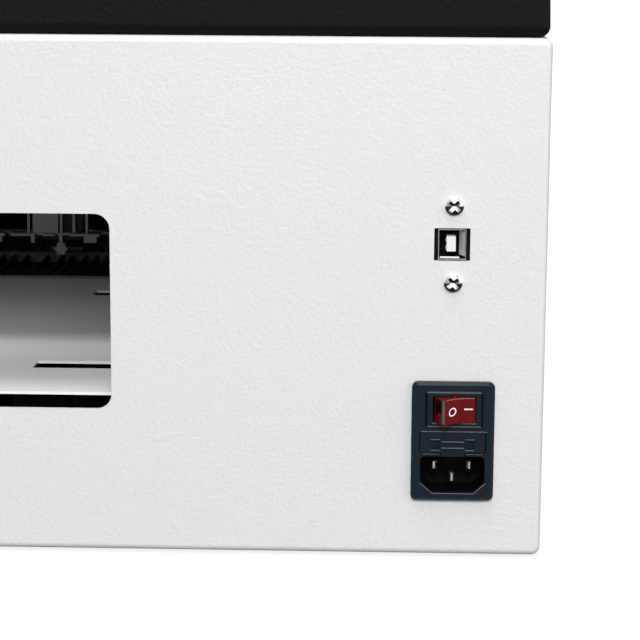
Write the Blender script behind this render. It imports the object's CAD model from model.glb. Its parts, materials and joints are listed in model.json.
"""Direct-to-film printer seen from behind: finishes, small fittings, camera and light."""
import json
import math

import bmesh
import bpy
from mathutils import Matrix, Vector
from mathutils.geometry import tessellate_polygon


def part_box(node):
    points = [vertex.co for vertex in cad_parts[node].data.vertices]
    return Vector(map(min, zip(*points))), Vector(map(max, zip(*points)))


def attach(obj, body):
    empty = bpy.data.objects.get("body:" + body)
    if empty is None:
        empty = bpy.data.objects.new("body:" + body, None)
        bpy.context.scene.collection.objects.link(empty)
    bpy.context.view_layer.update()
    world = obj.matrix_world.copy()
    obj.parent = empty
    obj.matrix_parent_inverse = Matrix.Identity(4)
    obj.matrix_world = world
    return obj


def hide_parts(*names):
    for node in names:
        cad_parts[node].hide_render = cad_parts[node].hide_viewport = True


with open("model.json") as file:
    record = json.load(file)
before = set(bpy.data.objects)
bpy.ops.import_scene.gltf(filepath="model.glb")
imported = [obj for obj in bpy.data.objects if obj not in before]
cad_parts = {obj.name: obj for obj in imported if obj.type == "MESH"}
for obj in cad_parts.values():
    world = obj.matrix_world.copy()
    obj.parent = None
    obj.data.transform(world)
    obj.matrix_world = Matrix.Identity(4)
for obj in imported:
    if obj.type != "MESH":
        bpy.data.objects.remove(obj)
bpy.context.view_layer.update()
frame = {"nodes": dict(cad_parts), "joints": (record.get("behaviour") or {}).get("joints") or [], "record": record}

MM = 0.001
materials = {}


class Value:
    """One output of a shader node. Arithmetic on it adds Math nodes."""

    def __init__(self, shader, socket):
        self.shader = shader
        self.socket = socket

    def math(self, operation, first, second, clamp=False):
        settings = {"operation": operation, "use_clamp": clamp}
        return self.shader.node("ShaderNodeMath", settings, {0: first, 1: second})["Value"]

    def __add__(self, other):
        return self.math("ADD", self, other)

    def __sub__(self, other):
        return self.math("SUBTRACT", self, other)

    def __rsub__(self, other):
        return self.math("SUBTRACT", other, self)

    def __mul__(self, other):
        return self.math("MULTIPLY", self, other)

    def __truediv__(self, other):
        return self.math("DIVIDE", self, other)

    def __rtruediv__(self, other):
        return self.math("DIVIDE", other, self)

    __radd__ = __add__
    __rmul__ = __mul__

    def clamped(self):
        """The same value kept between 0 and 1."""
        return self.math("ADD", self, 0.0, clamp=True)


class Shader:
    """A node tree whose nodes all come from one method."""

    def __init__(self, tree):
        self.tree = tree

    def feed(self, socket, item):
        """Links a socket to a value of this tree, or sets it to a plain number or colour."""
        if isinstance(item, Value):
            self.tree.links.new(item.socket, socket)
        else:
            socket.default_value = item

    def node(self, kind, settings=None, inputs=None):
        """Adds a node, sets it up, feeds its sockets and returns its open outputs by name."""
        node = self.tree.nodes.new(kind)
        for setting, value in (settings or {}).items():
            setattr(node, setting, value)
        for socket, item in (inputs or {}).items():
            self.feed(node.inputs[socket], item)
        return {output.name: Value(self, output) for output in node.outputs if output.enabled}


class Finish(Shader):
    """A material with one Principled surface, kept in materials under its name."""

    MIX_FIRST, MIX_SECOND = 6, 7  # the colour sockets of a Mix node share their names with others

    def __init__(self, name, **constants):
        self.material = bpy.data.materials.new(name)
        self.material.use_nodes = True
        super().__init__(self.material.node_tree)
        self.surface = self.tree.nodes["Principled BSDF"]
        for socket_name, value in constants.items():
            self.set(socket_name.replace("_", " "), value)
        self.place = self.node("ShaderNodeTexCoord")["Object"]
        materials[name] = self.material

    def set(self, socket_name, item):
        """Feeds one socket of the surface."""
        self.feed(self.surface.inputs[socket_name], item)

    def noise(self, size, detail=2.0, rough=0.5, stretch=None):
        """Soft noise whose features are about this many metres across."""
        vector = self.place
        if stretch:
            vector = self.node("ShaderNodeMapping", None, {"Vector": vector, "Scale": stretch})["Vector"]
        return self.node("ShaderNodeTexNoise", None, {
            "Vector": vector, "Scale": 1 / size, "Detail": detail, "Roughness": rough,
        })["Fac"]

    def along(self, vector, axis):
        """One part of a vector, by its axis letter."""
        return self.node("ShaderNodeSeparateXYZ", None, {"Vector": vector})[axis]

    def blend(self, share, first, second):
        """Mixes two colours by a value from 0 to 1."""
        return self.node("ShaderNodeMix", {"data_type": "RGBA"}, {
            "Factor": share, self.MIX_FIRST: first, self.MIX_SECOND: second,
        })["Result"]

    def bump(self, height, distance):
        """Relief from a value, this many metres deep."""
        self.set("Normal", self.node("ShaderNodeBump", None, {
            "Height": height, "Distance": distance,
        })["Normal"])


def shade(colour, factor):
    """The same colour, lighter or darker, with a full alpha."""
    return tuple(min(1.0, channel * factor) for channel in colour) + (1.0,)


def grey(level):
    """Neutral colour of one brightness."""
    return (level, level, level)


def powder_coat(name, colour, peel_size, peel_depth, roughness, **constants):
    """Baked powder coat: soft orange peel, a finer grain on it and slightly uneven gloss."""
    finish = Finish(name, IOR=1.5, **constants)
    peel = finish.noise(peel_size, 2.0, 0.55)
    grain = finish.noise(peel_size / 3.5, 1.0)
    drift = finish.noise(0.22, 1.0)
    finish.set("Base Color", finish.blend(drift, shade(colour, 0.985), shade(colour, 1.015)))
    finish.set("Roughness", roughness + (grain - 0.5) * 0.12)
    finish.bump(peel + grain * 0.35, peel_depth)


def moulding(name, colour, roughness, grain_size=0.0006, grain_depth=0.00003, **constants):
    """Spark-eroded moulded plastic: fine grain with slightly uneven colour and gloss."""
    finish = Finish(name, IOR=1.47, **constants)
    grain = finish.noise(grain_size, 2.0, 0.6)
    wear = finish.noise(0.03, 3.0)
    finish.set("Base Color", finish.blend(wear, shade(colour, 0.88), shade(colour, 1.12)))
    finish.set("Roughness", roughness + (wear - 0.5) * 0.14)
    finish.bump(grain, grain_depth)


def zoned(name, dark, light, edge, soft_edge=0.001):
    """Moulding that turns from dark to light where it passes an edge on its way to the rear."""
    finish = Finish(name, IOR=1.47, Specular_IOR_Level=0.2)
    grain = finish.noise(0.0007, 2.0, 0.6)
    wear = finish.noise(0.03, 3.0)
    share = ((finish.along(finish.place, "Y") - edge) / soft_edge).clamped()
    tone = finish.blend(share, shade(grey(dark), 1), (light, light, light * 1.01, 1))
    finish.set("Base Color", finish.blend(wear * 0.3, tone, shade(grey(dark), 1)))
    finish.set("Roughness", 0.45 + (wear - 0.5) * 0.14)
    finish.bump(grain, 0.00003)


def metal(name, colour, roughness, stretch=(1, 40, 40)):
    """Drawn or brushed metal, its lines along the axis that is stretched least."""
    finish = Finish(name, Metallic=1.0)
    lines = finish.noise(0.02, 3.0, 0.6, stretch)
    stain = finish.noise(0.05, 2.0)
    finish.set("Base Color", finish.blend(stain, shade(colour, 0.9), shade(colour, 1.05)))
    finish.set("Roughness", roughness + (lines - 0.5) * 0.2)
    finish.bump(lines, 0.00002)


def polished_head(name):
    """Polished plating that mirrors a bright sky above and a dark bench below."""
    finish = Finish(name, Metallic=1.0)
    facing_up = finish.along(finish.node("ShaderNodeTexCoord")["Normal"], "Z")
    swirl = finish.noise(0.0012, 2.0)
    share = (facing_up * 9.0 + 0.25 + (swirl - 0.5) * 0.8).clamped()
    finish.set("Base Color", finish.blend(share, shade(grey(0.035), 1), shade(grey(0.97), 1)))
    finish.set("Roughness", 0.28 + swirl * 0.08)


def clear_plastic(name, colour, roughness, see_through, **constants):
    """Tinted clear plastic with faint flow marks."""
    finish = Finish(name, IOR=1.49, Transmission_Weight=see_through, **constants)
    flow = finish.noise(0.025, 2.0)
    finish.set("Base Color", finish.blend(flow, shade(colour, 0.94), shade(colour, 1.06)))
    finish.set("Roughness", roughness + (flow - 0.5) * 0.06)


# Painted sheet metal
powder_coat("white_coat", grey(0.72), peel_size=0.0014, peel_depth=0.00018, roughness=0.42)
powder_coat("platform_white", grey(0.87), peel_size=0.0012, peel_depth=0.00003, roughness=0.38)
powder_coat("cover_black", grey(0.004), peel_size=0.0018, peel_depth=0.00025, roughness=0.6,
            Specular_IOR_Level=0.1)
powder_coat("tray_dark", (0.006, 0.006, 0.0065), peel_size=0.0015, peel_depth=0.00006, roughness=0.5,
            Specular_IOR_Level=0.2)

# Bare metal
metal("zinc_sheet", (0.56, 0.57, 0.58), 0.34)
metal("shaft_steel", grey(0.66), 0.16, stretch=(1, 120, 120))
metal("pin_nickel", (0.84, 0.85, 0.87), 0.22, stretch=(60, 1, 60))
metal("head_metal", grey(0.55), 0.25)
metal("pulley_alloy", (0.74, 0.74, 0.75), 0.28, stretch=(1, 60, 1))
metal("motor_can", (0.30, 0.30, 0.31), 0.36)
polished_head("screw_chrome")

# Mains inlet and data socket; the body in the socket_white slot is dark, and only its tongue is white
moulding("inlet_moulding", (0.006, 0.0125, 0.0195), 0.36, Specular_IOR_Level=0.22)
moulding("inlet_edge", (0.13, 0.135, 0.14), 0.35)
moulding("recess_black", (0.0022, 0.0026, 0.003), 0.5, Specular_IOR_Level=0.1)
moulding("gap_black", grey(0.002), 0.8, Specular_IOR_Level=0.05)
moulding("socket_white", (0.003, 0.003, 0.0033), 0.5, Specular_IOR_Level=0.1)
moulding("tongue_white", (0.80, 0.80, 0.79), 0.4)
clear_plastic("rocker_red", (0.145, 0.0012, 0.002), 0.24, 0.2, Specular_IOR_Level=0.25)
moulding("rocker_bevel", (0.16, 0.085, 0.095), 0.35)
moulding("rocker_glint", (0.30, 0.13, 0.14), 0.3)

# Mouldings, rubber and the board
moulding("black_moulding", (0.006, 0.006, 0.0065), 0.42, Specular_IOR_Level=0.25)
moulding("grey_moulding", (0.10, 0.10, 0.105), 0.45)
moulding("key_grey", (0.32, 0.33, 0.34), 0.4)
moulding("cap_black", (0.02, 0.02, 0.021), 0.45)
moulding("gear_white", (0.72, 0.72, 0.69), 0.35)
moulding("foot_rubber", grey(0.015), 0.75, grain_size=0.0012, grain_depth=0.00008)
moulding("belt_rubber", grey(0.012), 0.6)
moulding("roller_grey", (0.09, 0.09, 0.095), 0.6, grain_size=0.0005, grain_depth=0.00004)
moulding("board_green", (0.012, 0.10, 0.045), 0.3)
moulding("mark_white", (0.86, 0.85, 0.85), 0.45)
moulding("light_green", (0.05, 0.55, 0.12), 0.25,
         Emission_Color=(0.05, 0.8, 0.15, 1.0), Emission_Strength=0.6)

# Clear plastics
clear_plastic("smoked_pane", (0.10, 0.10, 0.11), 0.08, 0.85)
clear_plastic("damper_clear", (0.80, 0.81, 0.80), 0.2, 0.6)
clear_plastic("tank_clear", (0.82, 0.83, 0.82), 0.3, 0.5)
clear_plastic("strip_clear", grey(0.75), 0.1, 0.7)

# Film feed: the lips and edges nearest the window are lit, the rest stays near black
PINCH_CORE_BEHIND = 323.5 * MM
GUIDE_EDGE_DEEP = 2.5 * MM
panel_low, panel_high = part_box("rear_panel")
rear_face = panel_high[1]
zoned("pinch_arm_grey", 0.004, 0.36, rear_face - PINCH_CORE_BEHIND)
zoned("guide_black", 0.004, 0.16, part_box("film_guide")[1][1] - GUIDE_EDGE_DEEP)

SCENE_FINISHES = {"base_tray": "tray_dark", "pinch_arms": "pinch_arm_grey", "film_guide": "guide_black"}


def dress_nodes():
    """Each CAD node takes its slot's finish, or the scene's own where it has one."""
    for entry in frame["record"]["subparts"]:
        finish = SCENE_FINISHES.get(entry["node"], entry["material_slot"])
        for material_slot in frame["nodes"][entry["node"]].material_slots:
            material_slot.material = materials[finish]


dress_nodes()


# Lengths below are in millimetres, in the part's own frame
def middle_of(node):
    """Middle of a CAD node's box."""
    low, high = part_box(node)
    return (Vector(low) + Vector(high)) / 2 / MM


def keep(name, form, finish, body, replaced=(), smooth_below=35):
    """Turns a finished form in millimetres into a named piece that rides on a body."""
    bmesh.ops.scale(form, vec=(MM, MM, MM), verts=form.verts)
    bmesh.ops.recalc_face_normals(form, faces=form.faces)
    mesh = bpy.data.meshes.new(name)
    form.to_mesh(mesh)
    form.free()
    for face in mesh.polygons:
        face.use_smooth = True
    mesh.set_sharp_from_angle(angle=math.radians(smooth_below))
    mesh.materials.append(materials[finish])
    piece = bpy.data.objects.new(name, mesh)
    bpy.context.scene.collection.objects.link(piece)
    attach(piece, body)
    if replaced:
        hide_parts(*replaced)


def skin(form, loops, closed=False):
    """Faces between neighbouring loops of corners; closed joins the last loop to the first."""
    following = loops[1:] + loops[:1] if closed else loops[1:]
    for one, other in zip(loops, following):
        for place in range(len(one)):
            after = (place + 1) % len(one)
            form.faces.new((one[place], one[after], other[after], other[place]))


def prism(form, outline, start, end, along="Y"):
    """Closed prism over an outline of two coordinates, between two places on the third axis."""
    def corner(first, second, third):
        spot = {"X": (third, first, second), "Y": (first, third, second), "Z": (first, second, third)}
        return form.verts.new(spot[along])

    ends = [[corner(first, second, third) for first, second in outline] for third in (start, end)]
    skin(form, ends)
    for end_loop in ends:
        form.faces.new(end_loop)


def box_form(form, low, high):
    """Closed box between two corners."""
    outline = [(low[0], low[2]), (high[0], low[2]), (high[0], high[2]), (low[0], high[2])]
    prism(form, outline, low[1], high[1])


def oval(middle, wide, tall, count=32):
    """Outline of an oval from its half width and half height."""
    turns = [2 * math.pi * step / count for step in range(count)]
    return [(middle[0] + wide * math.cos(turn), middle[1] + tall * math.sin(turn)) for turn in turns]


def ring(form, middle, inner, outer, start, end):
    """Closed flat ring between two depths along Y."""
    loops = [
        [form.verts.new((x, depth, z)) for x, z in oval(middle, radius, radius)]
        for radius, depth in ((inner, start), (outer, start), (outer, end), (inner, end))
    ]
    skin(form, loops, closed=True)


def corner_runs(middle, wide, tall, low=0.05, top=0.05, low_steps=6):
    """Points round each corner of a rectangle, counter-clockwise from the upper right one."""
    top_steps = 6
    runs = []
    for side_x, side_z, radius, steps, start in (
        (1, 1, top, top_steps, 0), (-1, 1, top, top_steps, 90),
        (-1, -1, low, low_steps, 180), (1, -1, low, low_steps, 270),
    ):
        centre_x = middle[0] + side_x * (wide / 2 - radius)
        centre_z = middle[1] + side_z * (tall / 2 - radius)
        turns = [math.radians(start + 90 * step / steps) for step in range(steps + 1)]
        runs.append([
            (centre_x + radius * math.cos(turn), centre_z + radius * math.sin(turn)) for turn in turns
        ])
    return runs


def soft_box(*sizes, **corners):
    """Outline of a rectangle with eased corners; with one step the lower ones are cut straight."""
    return [point for run in corner_runs(*sizes, **corners) for point in run]


def grown(outline, distance):
    """The same counter-clockwise outline moved outwards by a distance."""
    sharpest = 0.4  # keeps a sharp corner from running far out
    moved = []
    for place, (x, z) in enumerate(outline):
        before, after = outline[place - 1], outline[(place + 1) % len(outline)]
        one = Vector((z - before[1], before[0] - x)).normalized()
        other = Vector((after[1] - z, x - after[0])).normalized()
        outward = (one + other).normalized()
        reach = distance / max(sharpest, outward.dot(one))
        moved.append((x + outward.x * reach, z + outward.y * reach))
    return moved


def holed_prism(form, start_loops, end_loops, start, end):
    """Closed prism between two depths along Y; the first loop is the outside, the others are holes."""
    ends = []
    for loops, depth in ((start_loops, start), (end_loops, end)):
        corners = [[form.verts.new((x, depth, z)) for x, z in loop] for loop in loops]
        every = [corner for loop in corners for corner in loop]
        for triangle in tessellate_polygon([[Vector((x, z, 0)) for x, z in loop] for loop in loops]):
            form.faces.new([every[number] for number in triangle])
        ends.append(corners)
    for near, far in zip(*ends):
        skin(form, [near, far])


def strip(form, points, width, start, end):
    """Closed flat strip along a run of (x, z) points between two depths."""
    left, right = [], []
    for place, point in enumerate(points):
        before = Vector(points[max(0, place - 1)])
        after = Vector(points[min(len(points) - 1, place + 1)])
        across = Vector((before.y - after.y, after.x - before.x)).normalized() * width / 2
        left.append(tuple(Vector(point) + across))
        right.append(tuple(Vector(point) - across))
    prism(form, left + right[::-1], start, end)


# Mains inlet: places are (across from its middle, up from the panel's lower edge)
panel_foot = panel_low[2] / MM
inlet_middle = middle_of("inlet_body")
inlet_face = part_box("inlet_body")[1][1] / MM
drawer_face = inlet_face - 0.2
bezel_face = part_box("switch_frame")[1][1] / MM
INLET_CENTRE = (0, inlet_middle.z - panel_foot)
PLUG_RECESS = {"middle": (0, 33.4), "wide": 25.2, "tall": 15.0, "low": 4.2, "top": 1.8, "low_steps": 1}
DRAWER_HOLE = {"middle": (0, 46.6), "wide": 26.0, "tall": 8.8, "low": 1.2, "top": 1.2}
SWITCH_HOLE = {"middle": (-0.4, 60.0), "wide": 19.8, "tall": 12.4}
PIT_ACROSS, PIT_HEIGHT = 6.7, 45.6
PIT_WIDE, PIT_TALL = 3.8, 4.3
FLANGE_BACK = -3.0
BEVEL_DEEP = 1.2
BEVEL_EASE = 0.35
MOUTH_FLARE = 0.12


def on_inlet(places):
    """The part's own coordinates of places on the inlet."""
    return [(inlet_middle.x + across, panel_foot + height) for across, height in places]


def joined_hole():
    """One outline of the plug recess and the drawer hole, joined by the slot for the drawer's tab."""
    half, foot, head = 4.85, 40.9, 42.2
    top_right, top_left, low_left, low_right = corner_runs(**PLUG_RECESS)
    drawer_top_right, drawer_top_left, drawer_low_left, drawer_low_right = corner_runs(**DRAWER_HOLE)
    return (
        low_left + low_right + top_right + [(half, foot), (half, head)]
        + drawer_low_right + drawer_top_right + drawer_top_left + drawer_low_left
        + [(-half, head), (-half, foot)] + top_left
    )


def inlet_piece(name, finish, layers):
    """Piece of the inlet from closed layers, each with its two depths and their loops."""
    form = bmesh.new()
    for start, start_loops, end, end_loops in layers:
        near, far = ([on_inlet(loop) for loop in loops] for loops in (start_loops, end_loops))
        holed_prism(form, near, far, inlet_face + start, inlet_face + end)
    keep(name, form, finish, "root", ["inlet_body"], 40)


def inlet_flange():
    """Front of the inlet, with a bevelled edge and slightly flared mouths."""
    joined, switch = joined_hole(), soft_box(**SWITCH_HOLE)
    outside = soft_box(INLET_CENTRE, wide=32.5, tall=47.8, low=2.5, top=2.5)
    stages = [
        (FLANGE_BACK, [outside, joined, switch]),
        (-BEVEL_DEEP, [outside, joined, switch]),
        (-BEVEL_EASE, [grown(outside, BEVEL_EASE - BEVEL_DEEP), joined, switch]),
        (0.0, [grown(outside, -BEVEL_DEEP), grown(joined, MOUTH_FLARE), switch]),
    ]
    layers = [near + far for near, far in zip(stages, stages[1:])]
    inlet_piece("inlet_housing_shaped", "inlet_moulding", layers)


def inlet_inner_walls():
    """Box behind the flange; each hole in it ends at its own depth."""
    neck = soft_box(INLET_CENTRE, wide=26.9, tall=43.2, low=1.0, top=1.0)
    recess, drawer, switch = soft_box(**PLUG_RECESS), soft_box(**DRAWER_HOLE), soft_box(**SWITCH_HOLE)
    stages = (
        (-14.0, FLANGE_BACK, [neck, recess, drawer, switch]),
        (-17.0, -14.0, [neck, recess, drawer]),
        (-24.0, -17.0, [neck, drawer]),
        (-33.0, -24.0, [neck]),
    )
    layers = [(start, loops, end, loops) for start, end, loops in stages]
    inlet_piece("inlet_inner_walls", "recess_black", layers)


def line_piece(name, finish, body, lines):
    """Thin strips on the inlet's front, each with its points, width and two depths."""
    form = bmesh.new()
    for points, width, start, end in lines:
        strip(form, on_inlet(points), width, start, end)
    keep(name, form, finish, body)


def inlet_edge_lines():
    """Lit edges of the drawer hole, the plug recess and the switch bezel."""
    edge, thin_edge, wide_edge, sunk, proud = 0.3, 0.14, 0.36, 0.15, 0.05
    lines = (
        ([(-13.4, 51.0), (12.6, 51.0)], edge, inlet_face),
        ([(12.65, 30.1), (7.8, 25.95), (-8.3, 25.95), (-13.1, 30.2)], edge, inlet_face),
        ([(11.8, 41.95), (5.3, 41.95)], thin_edge, inlet_face),
        ([(-11.9, 41.95), (-5.3, 41.95)], thin_edge, inlet_face),
        ([(10.3, 66.75), (-11.0, 66.75)], edge, bezel_face),
        ([(10.0, 53.2), (-10.9, 53.2)], edge, bezel_face),
        ([(8.2, 54.5), (6.2, 54.5)], wide_edge, bezel_face),
        ([(-3.2, 54.5), (-9.0, 54.5)], wide_edge, bezel_face),
    )
    line_piece("inlet_edge_lines", "inlet_edge", "root",
               [(points, width, face - sunk, face + proud) for points, width, face in lines])


def drawer_front():
    """Front plate of the fuse drawer with its two finger pits."""
    gap, thick, proud = 0.25, 1.5, 0.02
    wide, tall = DRAWER_HOLE["wide"] - 2 * gap, DRAWER_HOLE["tall"] - 2 * gap
    plate = [soft_box(DRAWER_HOLE["middle"], wide, tall, low=1.0, top=1.0)]
    for side in (-1, 1):
        plate.append(soft_box((side * PIT_ACROSS, PIT_HEIGHT), PIT_WIDE, PIT_TALL, low=0.2, top=0.2))
    loops = [on_inlet(loop) for loop in plate]
    form = bmesh.new()
    holed_prism(form, loops, loops, drawer_face - thick, drawer_face + proud)
    keep("drawer_front_shaped", form, "inlet_moulding", "drawer")


def drawer_edge_lines():
    """Lit edges of the finger pits and of the raised grip between them."""
    pit_line, grip_line, half_pit, half_grip = 0.26, 0.34, PIT_WIDE / 2 - 0.1, 4.5
    lines = []
    for side in (-1, 1):
        for height in (PIT_HEIGHT - PIT_TALL / 2, PIT_HEIGHT + PIT_TALL / 2):
            ends = [(side * PIT_ACROSS - half_pit, height), (side * PIT_ACROSS + half_pit, height)]
            lines.append((ends, pit_line, drawer_face - 0.15, drawer_face + 0.06))
    for height in (44.45, 46.95):
        ends = [(-half_grip, height), (half_grip, height)]
        lines.append((ends, grip_line, drawer_face + 0.3, drawer_face + 0.56))
    line_piece("drawer_edge_lines", "inlet_edge", "drawer", lines)


def bezel_side_lines():
    """Dark gaps along the two sides of the switch bezel."""
    foot, head, gap, deep, proud = 53.2, 66.9, 0.35, 0.7, 0.03
    line_piece("bezel_side_lines", "gap_black", "root", [
        ([(across, foot), (across, head)], gap, bezel_face - deep, bezel_face + proud)
        for across in (10.75, -11.45)
    ])


inlet_flange()
inlet_inner_walls()
inlet_edge_lines()
drawer_front()
drawer_edge_lines()
bezel_side_lines()

# Data socket: the square sort, laid on its side
socket_low, socket_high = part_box("usb_shell")
socket_middle = middle_of("usb_shell")
socket_front = socket_high[1] / MM


def socket_rim():
    """Bright square rim with a small bevel inside and outside."""
    wall, bevel_deep, outer_bevel, inner_bevel = 0.45, 0.3, 0.15, 0.1
    wide, tall = (socket_high[0] - socket_low[0]) / MM, (socket_high[2] - socket_low[2]) / MM
    centre = (socket_middle.x, socket_middle.z)
    outer = soft_box(centre, wide, tall, low=0.3, top=0.3)
    inner = soft_box(centre, wide - 2 * wall, tall - 2 * wall, low=0.2, top=0.2)
    form = bmesh.new()
    holed_prism(form, [outer, inner], [outer, inner], socket_low[1] / MM, socket_front - bevel_deep)
    holed_prism(form, [outer, inner], [grown(outer, -outer_bevel), grown(inner, inner_bevel)],
                socket_front - bevel_deep, socket_front)
    keep("usb_rim_square", form, "pin_nickel", "root", ["usb_shell"], 30)


def socket_tongue_and_walls():
    """White tongue, and the tapered white walls at one side and below it."""
    x, z, front = socket_middle.x, socket_middle.z, socket_front
    form = bmesh.new()
    tongue = soft_box((x + 0.35, z + 0.1), wide=3.5, tall=5.9, low=0.2, top=0.2)
    prism(form, tongue, front - 7.0, front - 1.1)
    side_wall = [(x - 4.9, front - 0.4), (x - 4.9, front - 5.5), (x - 2.9, front - 5.5)]
    prism(form, side_wall, z - 4.6, z + 4.8, "Z")
    lower_wall = [(front - 0.5, z - 5.4), (front - 1.5, z - 5.4), (front - 1.5, z - 4.9)]
    prism(form, lower_wall, x - 2.8, x + 4.6, "X")
    keep("usb_tongue_and_walls", form, "tongue_white", "root")


def socket_contacts():
    """Two contacts on the side of the tongue."""
    aside, thick, back, front, half_tall = 2.1, 0.4, 5.0, 1.6, 0.7
    form = bmesh.new()
    for height in (1.6, -1.4):
        x, z = socket_middle.x + aside, socket_middle.z + height
        box_form(form, (x, socket_front - back, z - half_tall),
                 (x + thick, socket_front - front, z + half_tall))
    keep("usb_contacts", form, "pin_nickel", "root")


socket_rim()
socket_tongue_and_walls()
socket_contacts()

HEAD_RADIUS = 3.75
HEAD_RISE = 2.4
CROSS_HALF = 2.6
CROSS_WIDTH = 0.72
CROSS_DEPTH = 1.9
CROSS_WALL = 0.16
CROSS_END = 0.35
LEAST_HEAD = 0.15
SHANK_RADIUS = 1.45
SHANK_LONG = 8.0


def screw_head_height(across, along, turn):
    """Height of a pan head with a tapered cross recess, at a place on the head."""
    share = math.hypot(across, along) / HEAD_RADIUS
    dome = HEAD_RISE * (1 - share ** 4) ** 0.5 if share < 1 else 0.0
    first = abs(across * math.cos(turn) + along * math.sin(turn))
    second = abs(along * math.cos(turn) - across * math.sin(turn))
    aside, reach = min(first, second), max(first, second)
    within = min(1.0, max(0.0, (CROSS_WIDTH - aside) / CROSS_WALL))
    within *= min(1.0, max(0.0, (CROSS_HALF - reach) / CROSS_END))
    return max(LEAST_HEAD, dome - CROSS_DEPTH * within * (1.1 - 0.45 * reach / CROSS_HALF))


def pan_screw(form, middle, base, turn, rings=26, spokes=72):
    """Closed pan-head screw with its head towards +Y and a short plain shank behind."""
    loops = []
    for step in range(1, rings + 1):
        radius = HEAD_RADIUS * step / rings
        loop = []
        for across, along in oval((0, 0), radius, radius, spokes):
            height = screw_head_height(across, along, turn) if step < rings else 0.0
            loop.append(form.verts.new((middle[0] + across, base + height, middle[1] + along)))
        loops.append(loop)
    for depth in (0.0, -SHANK_LONG):
        outline = oval(middle, SHANK_RADIUS, SHANK_RADIUS, spokes)
        loops.append([form.verts.new((x, base + depth, z)) for x, z in outline])
    skin(form, loops)
    tip = form.verts.new((middle[0], base + screw_head_height(0, 0, turn), middle[1]))
    for place in range(spokes):
        form.faces.new((tip, loops[0][(place + 1) % spokes], loops[0][place]))
    form.faces.new(loops[-1][::-1])


def socket_screws():
    """Two bright screws above and below the data socket, each turned its own way."""
    head_inset, aside = 3.4, 0.6
    low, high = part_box("usb_screws")
    across = (low[0] + high[0]) / 2 / MM - aside
    base = high[1] / MM - HEAD_RISE
    form = bmesh.new()
    for height, turn in ((high[2] / MM - head_inset, 0.70), (low[2] / MM + head_inset, 0.88)):
        pan_screw(form, (across, height), base, turn)
    keep("usb_screws_cross_recess", form, "screw_chrome", "root", ["usb_screws"], 50)


socket_screws()


# Rocker: its marks follow the dished face, in the rocker's own tilted directions
ROCKER_TILT = math.radians(26)
FACE_HALF = 6.6
FACE_RISE = 5.0
FACE_DISH = 2.1
FACE_RADIUS = (FACE_HALF ** 2 + FACE_DISH ** 2) / (2 * FACE_DISH)
END_FOOT, END_CREST = Vector((7.25, -2.6)), Vector((6.6, 5.0))
INLAY_SUNK = -0.12
rocker_joint = next(entry for entry in frame["joints"] if entry["name"] == "rocker_pivot")
rocker_pivot = Vector(rocker_joint["pos_m"]) / MM


def rocker_spot(across, outward, height):
    """Place in the part's frame from one on the tilted rocker, measured from its pivot."""
    along_face = Vector((math.cos(ROCKER_TILT), math.sin(ROCKER_TILT), 0))
    off_face = Vector((-math.sin(ROCKER_TILT), math.cos(ROCKER_TILT), 0))
    return rocker_pivot + along_face * across + off_face * outward + Vector((0, 0, height))


def face_loop(form, outline, lift):
    """Corners of an outline laid on the dished face, raised off it by a little."""
    corners = []
    for across, height in outline:
        dish = FACE_RADIUS - math.sqrt(FACE_RADIUS ** 2 - across ** 2)
        corners.append(form.verts.new(rocker_spot(across, FACE_RISE - FACE_DISH + dish + lift, height)))
    return corners


def face_inlay(form, outer, inner):
    """Closed thin ring that follows the dished face, between an outer and an inner outline."""
    proud = 0.04
    stages = ((outer, INLAY_SUNK), (outer, proud), (inner, proud), (inner, INLAY_SUNK))
    skin(form, [face_loop(form, outline, lift) for outline, lift in stages], closed=True)


def slanted_oval(wide, tall):
    """Outline of the O, which leans a little."""
    lean, middle = -0.175, (2.55, -0.2)
    upright = oval(middle, wide, tall, 40)
    return [(across + lean * (height - middle[1]), height) for across, height in upright]


def band(middle, half_wide, half_tall, steps):
    """Outline of a level bar with points all along it, so that it can follow the dish."""
    top = [
        (middle[0] - half_wide + 2 * half_wide * step / steps, middle[1] + half_tall)
        for step in range(steps + 1)
    ]
    return top + [(across, middle[1] - half_tall) for across, height in reversed(top)]


def rocker_marks():
    """White O on the raised half of the rocker and a short bar on the pressed half."""
    bar_middle = (-4.2, 0.45)
    form = bmesh.new()
    face_inlay(form, slanted_oval(1.85, 1.72), slanted_oval(1.3, 1.2))
    face_inlay(form, band(bar_middle, 1.55, 0.28, 10), band(bar_middle, 1.0, 0.04, 10))
    keep("rocker_marks", form, "mark_white", "rocker")


def rocker_top_glint():
    """Lit line along the upper edge of the face."""
    middle, half_wide = (0.0, 4.8), 6.2
    form = bmesh.new()
    face_inlay(form, band(middle, half_wide, 0.18, 14), band(middle, half_wide, 0.02, 14))
    keep("rocker_top_glint", form, "rocker_glint", "rocker")


def end_inlay(name, finish, corners):
    """Closed thin inlay on the raised end; each corner has a share of the end's rise and a height."""
    proud = 0.05
    form = bmesh.new()
    loops = []
    for lift in (proud, INLAY_SUNK):
        loop = []
        for share, height in corners:
            spot = END_FOOT.lerp(END_CREST, share)
            loop.append(form.verts.new(rocker_spot(spot.x + lift, spot.y, height)))
        loops.append(loop)
    skin(form, loops)
    for loop in loops:
        form.faces.new(loop)
    keep(name, form, finish, "rocker")


rocker_marks()
rocker_top_glint()
end_inlay("rocker_end_shade", "gap_black",
          [(0.1, 4.5), (0.62, 4.1), (0.62, -1.6), (0.45, -0.2), (0.1, -2.4)])
end_inlay("rocker_end_bevel", "rocker_bevel", [(0.72, 4.5), (0.97, 4.5), (0.97, -4.7), (0.72, -4.3)])


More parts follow.
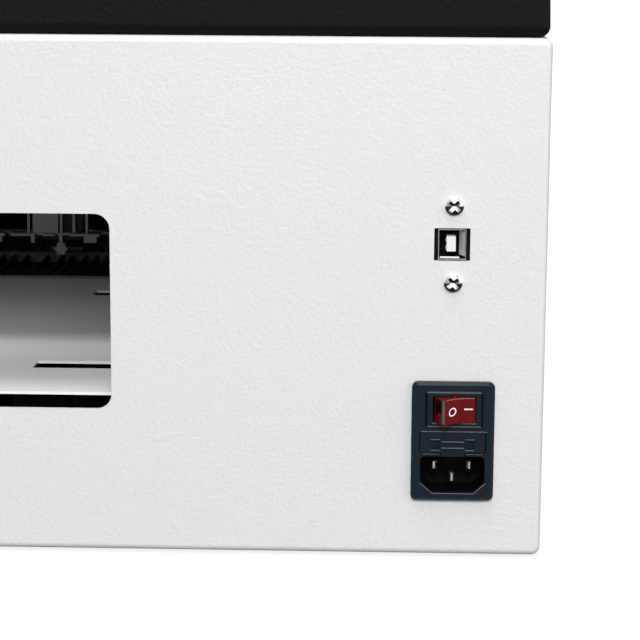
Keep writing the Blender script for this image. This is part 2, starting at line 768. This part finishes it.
# Keys: each sign is drawn round its key's middle, between two depths at the key's front
def power_sign(form, x, z, near, far):
    """Ring with a short upright bar through its top."""
    half_bar, bar_foot, bar_head, bar_proud = 0.25, 0.6, 3.0, 0.02
    ring(form, (x, z), 1.7, 2.2, near, far)
    box_form(form, (x - half_bar, near - bar_proud, z + bar_foot), (x + half_bar, far, z + bar_head))


def clean_sign(form, x, z, near, far):
    """Round dot."""
    radius = 1.3
    prism(form, oval((x, z), radius, radius, 24), near, far)


def feed_sign(form, x, z, near, far):
    """Triangle that points up."""
    half_wide, foot, tip = 1.8, 1.2, 1.9
    prism(form, [(x - half_wide, z - foot), (x + half_wide, z - foot), (x, z + tip)], near, far)


def pause_sign(form, x, z, near, far):
    """Two upright bars."""
    aside, half_wide, half_tall = 1.1, 0.45, 1.8
    for bar in (x - aside, x + aside):
        box_form(form, (bar - half_wide, near, z - half_tall), (bar + half_wide, far, z + half_tall))


KEY_SIGNS = {
    "power_key": power_sign,
    "clean_key": clean_sign,
    "feed_key": feed_sign,
    "pause_key": pause_sign,
}


def key_signs():
    """A plain sign on each of the four keys."""
    proud, sunk = 0.04, 0.15
    for key, draw_sign in KEY_SIGNS.items():
        key_face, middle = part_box(key)[0][1] / MM, middle_of(key)
        form = bmesh.new()
        draw_sign(form, middle.x, middle.z, key_face - proud, key_face + sunk)
        keep(key + "_sign", form, "mark_white", key)


def status_lights():
    """A green light over each key: a lens on a wider base."""
    above_key, base_radius, lens_radius = 9.5, 1.1, 0.8
    panel_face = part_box("control_panel")[0][1] / MM
    form = bmesh.new()
    for key in KEY_SIGNS:
        middle = middle_of(key)
        spot = (middle.x, middle.z + above_key)
        prism(form, oval(spot, base_radius, base_radius, 24), panel_face + 0.02, panel_face + 0.8)
        prism(form, oval(spot, lens_radius, lens_radius, 24), panel_face - 0.25, panel_face + 0.3)
    keep("status_lights", form, "light_green", "root")


key_signs()
status_lights()

# Camera: solved from the panel's edges, placed from the rear face and its lower left corner
CAMERA_BACK = 776 * MM
CAMERA_UP = 237.7 * MM
CAMERA_ACROSS = 65.9 * MM
CAMERA_PITCH = math.radians(10.46)
CAMERA_YAW = math.radians(1.63)
CAMERA_ROLL = 0.0065
FOCAL_PIXELS = 2023
IMAGE_PIXELS = 640
SENSOR_MM = 36


def place_camera():
    """Camera behind the rear panel, turned by its yaw, then its pitch, then its roll."""
    sin_yaw, cos_yaw = math.sin(CAMERA_YAW), math.cos(CAMERA_YAW)
    sin_pitch, cos_pitch = math.sin(CAMERA_PITCH), math.cos(CAMERA_PITCH)
    level_right = Vector((-cos_yaw, -sin_yaw, 0))
    tilted_up = Vector((sin_yaw * sin_pitch, -cos_yaw * sin_pitch, cos_pitch))
    right = level_right * math.cos(CAMERA_ROLL) + tilted_up * math.sin(CAMERA_ROLL)
    up = tilted_up * math.cos(CAMERA_ROLL) - level_right * math.sin(CAMERA_ROLL)
    turn = Matrix((right, up, right.cross(up))).transposed().to_4x4()
    camera = bpy.data.objects.new("camera", bpy.data.cameras.new("camera"))
    camera.data.sensor_width = SENSOR_MM
    camera.data.lens = SENSOR_MM * FOCAL_PIXELS / IMAGE_PIXELS
    camera.data.clip_end = 20
    place = Vector((panel_low[0] + CAMERA_ACROSS, rear_face + CAMERA_BACK, panel_low[2] + CAMERA_UP))
    camera.matrix_world = Matrix.Translation(place) @ turn
    bpy.context.scene.collection.objects.link(camera)
    bpy.context.scene.camera = camera


place_camera()


# Light: soft boxes round a white table, with one small lamp inside the casing
def lamp(name, place, target, size, power):
    """Rectangular lamp at a place, turned to a target; size in metres, power in watts."""
    light = bpy.data.lights.new(name, "AREA")
    light.shape = "RECTANGLE"
    light.size, light.size_y = size
    light.energy = power
    holder = bpy.data.objects.new(name, light)
    holder.location = place
    holder.rotation_euler = (Vector(target) - Vector(place)).to_track_quat("-Z", "Y").to_euler()
    bpy.context.scene.collection.objects.link(holder)


REAR_MIDDLE = (-0.15, rear_face, 0.10)
CASING_MIDDLE = (0, 0, 0.15)
lamp("key", (-0.35, 2.74, 1.69), REAR_MIDDLE, (0.3, 0.3), 52)
lamp("low_softbox", (-0.6, 3.0, 1.0), REAR_MIDDLE, (2.2, 0.7), 11)
lamp("high_softbox", (-0.1, 2.0, 2.6), REAR_MIDDLE, (1.2, 0.8), 14)
lamp("overhead", (-0.1, 0.95, 2.8), REAR_MIDDLE, (1.4, 0.9), 28)
lamp("side_fill", (-2.6, 1.6, 0.9), REAR_MIDDLE, (1.4, 1.2), 22)
lamp("front_fill", (0.6, -2.6, 1.6), CASING_MIDDLE, (1.8, 1.4), 70)


def inside_lamp():
    """Long narrow lamp above the film platform, just behind the window's upper edge."""
    above_platform, behind_panel, reach, drop = 0.085, 0.045, 0.4, 0.03
    low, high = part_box("film_platform")
    across = (low[0] + high[0]) / 2
    height = high[2] + above_platform
    lamp("inside", (across, rear_face - behind_panel, height), (across, rear_face - reach, height - drop),
         (0.34, 0.03), 0.12)


inside_lamp()


def studio():
    """White world: dim for lighting, half bright in mirrors and full white to the camera."""
    world = bpy.context.scene.world or bpy.data.worlds.new("studio")
    bpy.context.scene.world = world
    world.use_nodes = True
    world.node_tree.nodes.clear()
    shader = Shader(world.node_tree)

    def sky(strength):
        return shader.node("ShaderNodeBackground", None, {
            "Color": (1, 1, 1, 1), "Strength": strength,
        })["Background"]

    rays = shader.node("ShaderNodeLightPath")
    lit_or_mirrored = shader.node("ShaderNodeMixShader", None, {
        0: rays["Is Glossy Ray"], 1: sky(0.07), 2: sky(0.35),
    })["Shader"]
    every_ray = shader.node("ShaderNodeMixShader", None, {
        0: rays["Is Camera Ray"], 1: lit_or_mirrored, 2: sky(1.0),
    })["Shader"]
    shader.node("ShaderNodeOutputWorld", None, {"Surface": every_ray})


studio()


def table_finish():
    """Pale table with soft shadows that looks white, by a glow that only the camera sees."""
    near_glow, far_glow_more, near_end, fade = 0.84, 0.16, 0.45, 2.0
    finish = Finish("table_white", Roughness=0.6, Specular_IOR_Level=0.1)
    tone = finish.noise(0.4, 1.0)
    finish.set("Base Color", finish.blend(tone, shade(grey(0.24), 1), shade(grey(0.26), 1)))
    x, y = finish.along(finish.place, "X"), finish.along(finish.place, "Y")
    far_away = ((x * x + y * y - near_end) / fade).clamped()
    seen = finish.node("ShaderNodeLightPath")["Is Camera Ray"]
    glow = finish.node("ShaderNodeEmission", None, {
        "Strength": seen * (far_away * far_glow_more + near_glow),
    })["Emission"]
    both = finish.node("ShaderNodeAddShader", None, {
        0: Value(finish, finish.surface.outputs["BSDF"]), 1: glow,
    })["Shader"]
    finish.feed(finish.tree.nodes["Material Output"].inputs["Surface"], both)


def table_top():
    """Wide table under the feet, left out of the export."""
    half = 6.0
    mesh = bpy.data.meshes.new("table_top")
    corners = [(-half, -half, 0), (half, -half, 0), (half, half, 0), (-half, half, 0)]
    mesh.from_pydata(corners, [], [(0, 1, 2, 3)])
    mesh.materials.append(materials["table_white"])
    piece = bpy.data.objects.new("table_top", mesh)
    bpy.context.scene.collection.objects.link(piece)


table_finish()
table_top()
bpy.context.scene.view_settings.view_transform = "Standard"
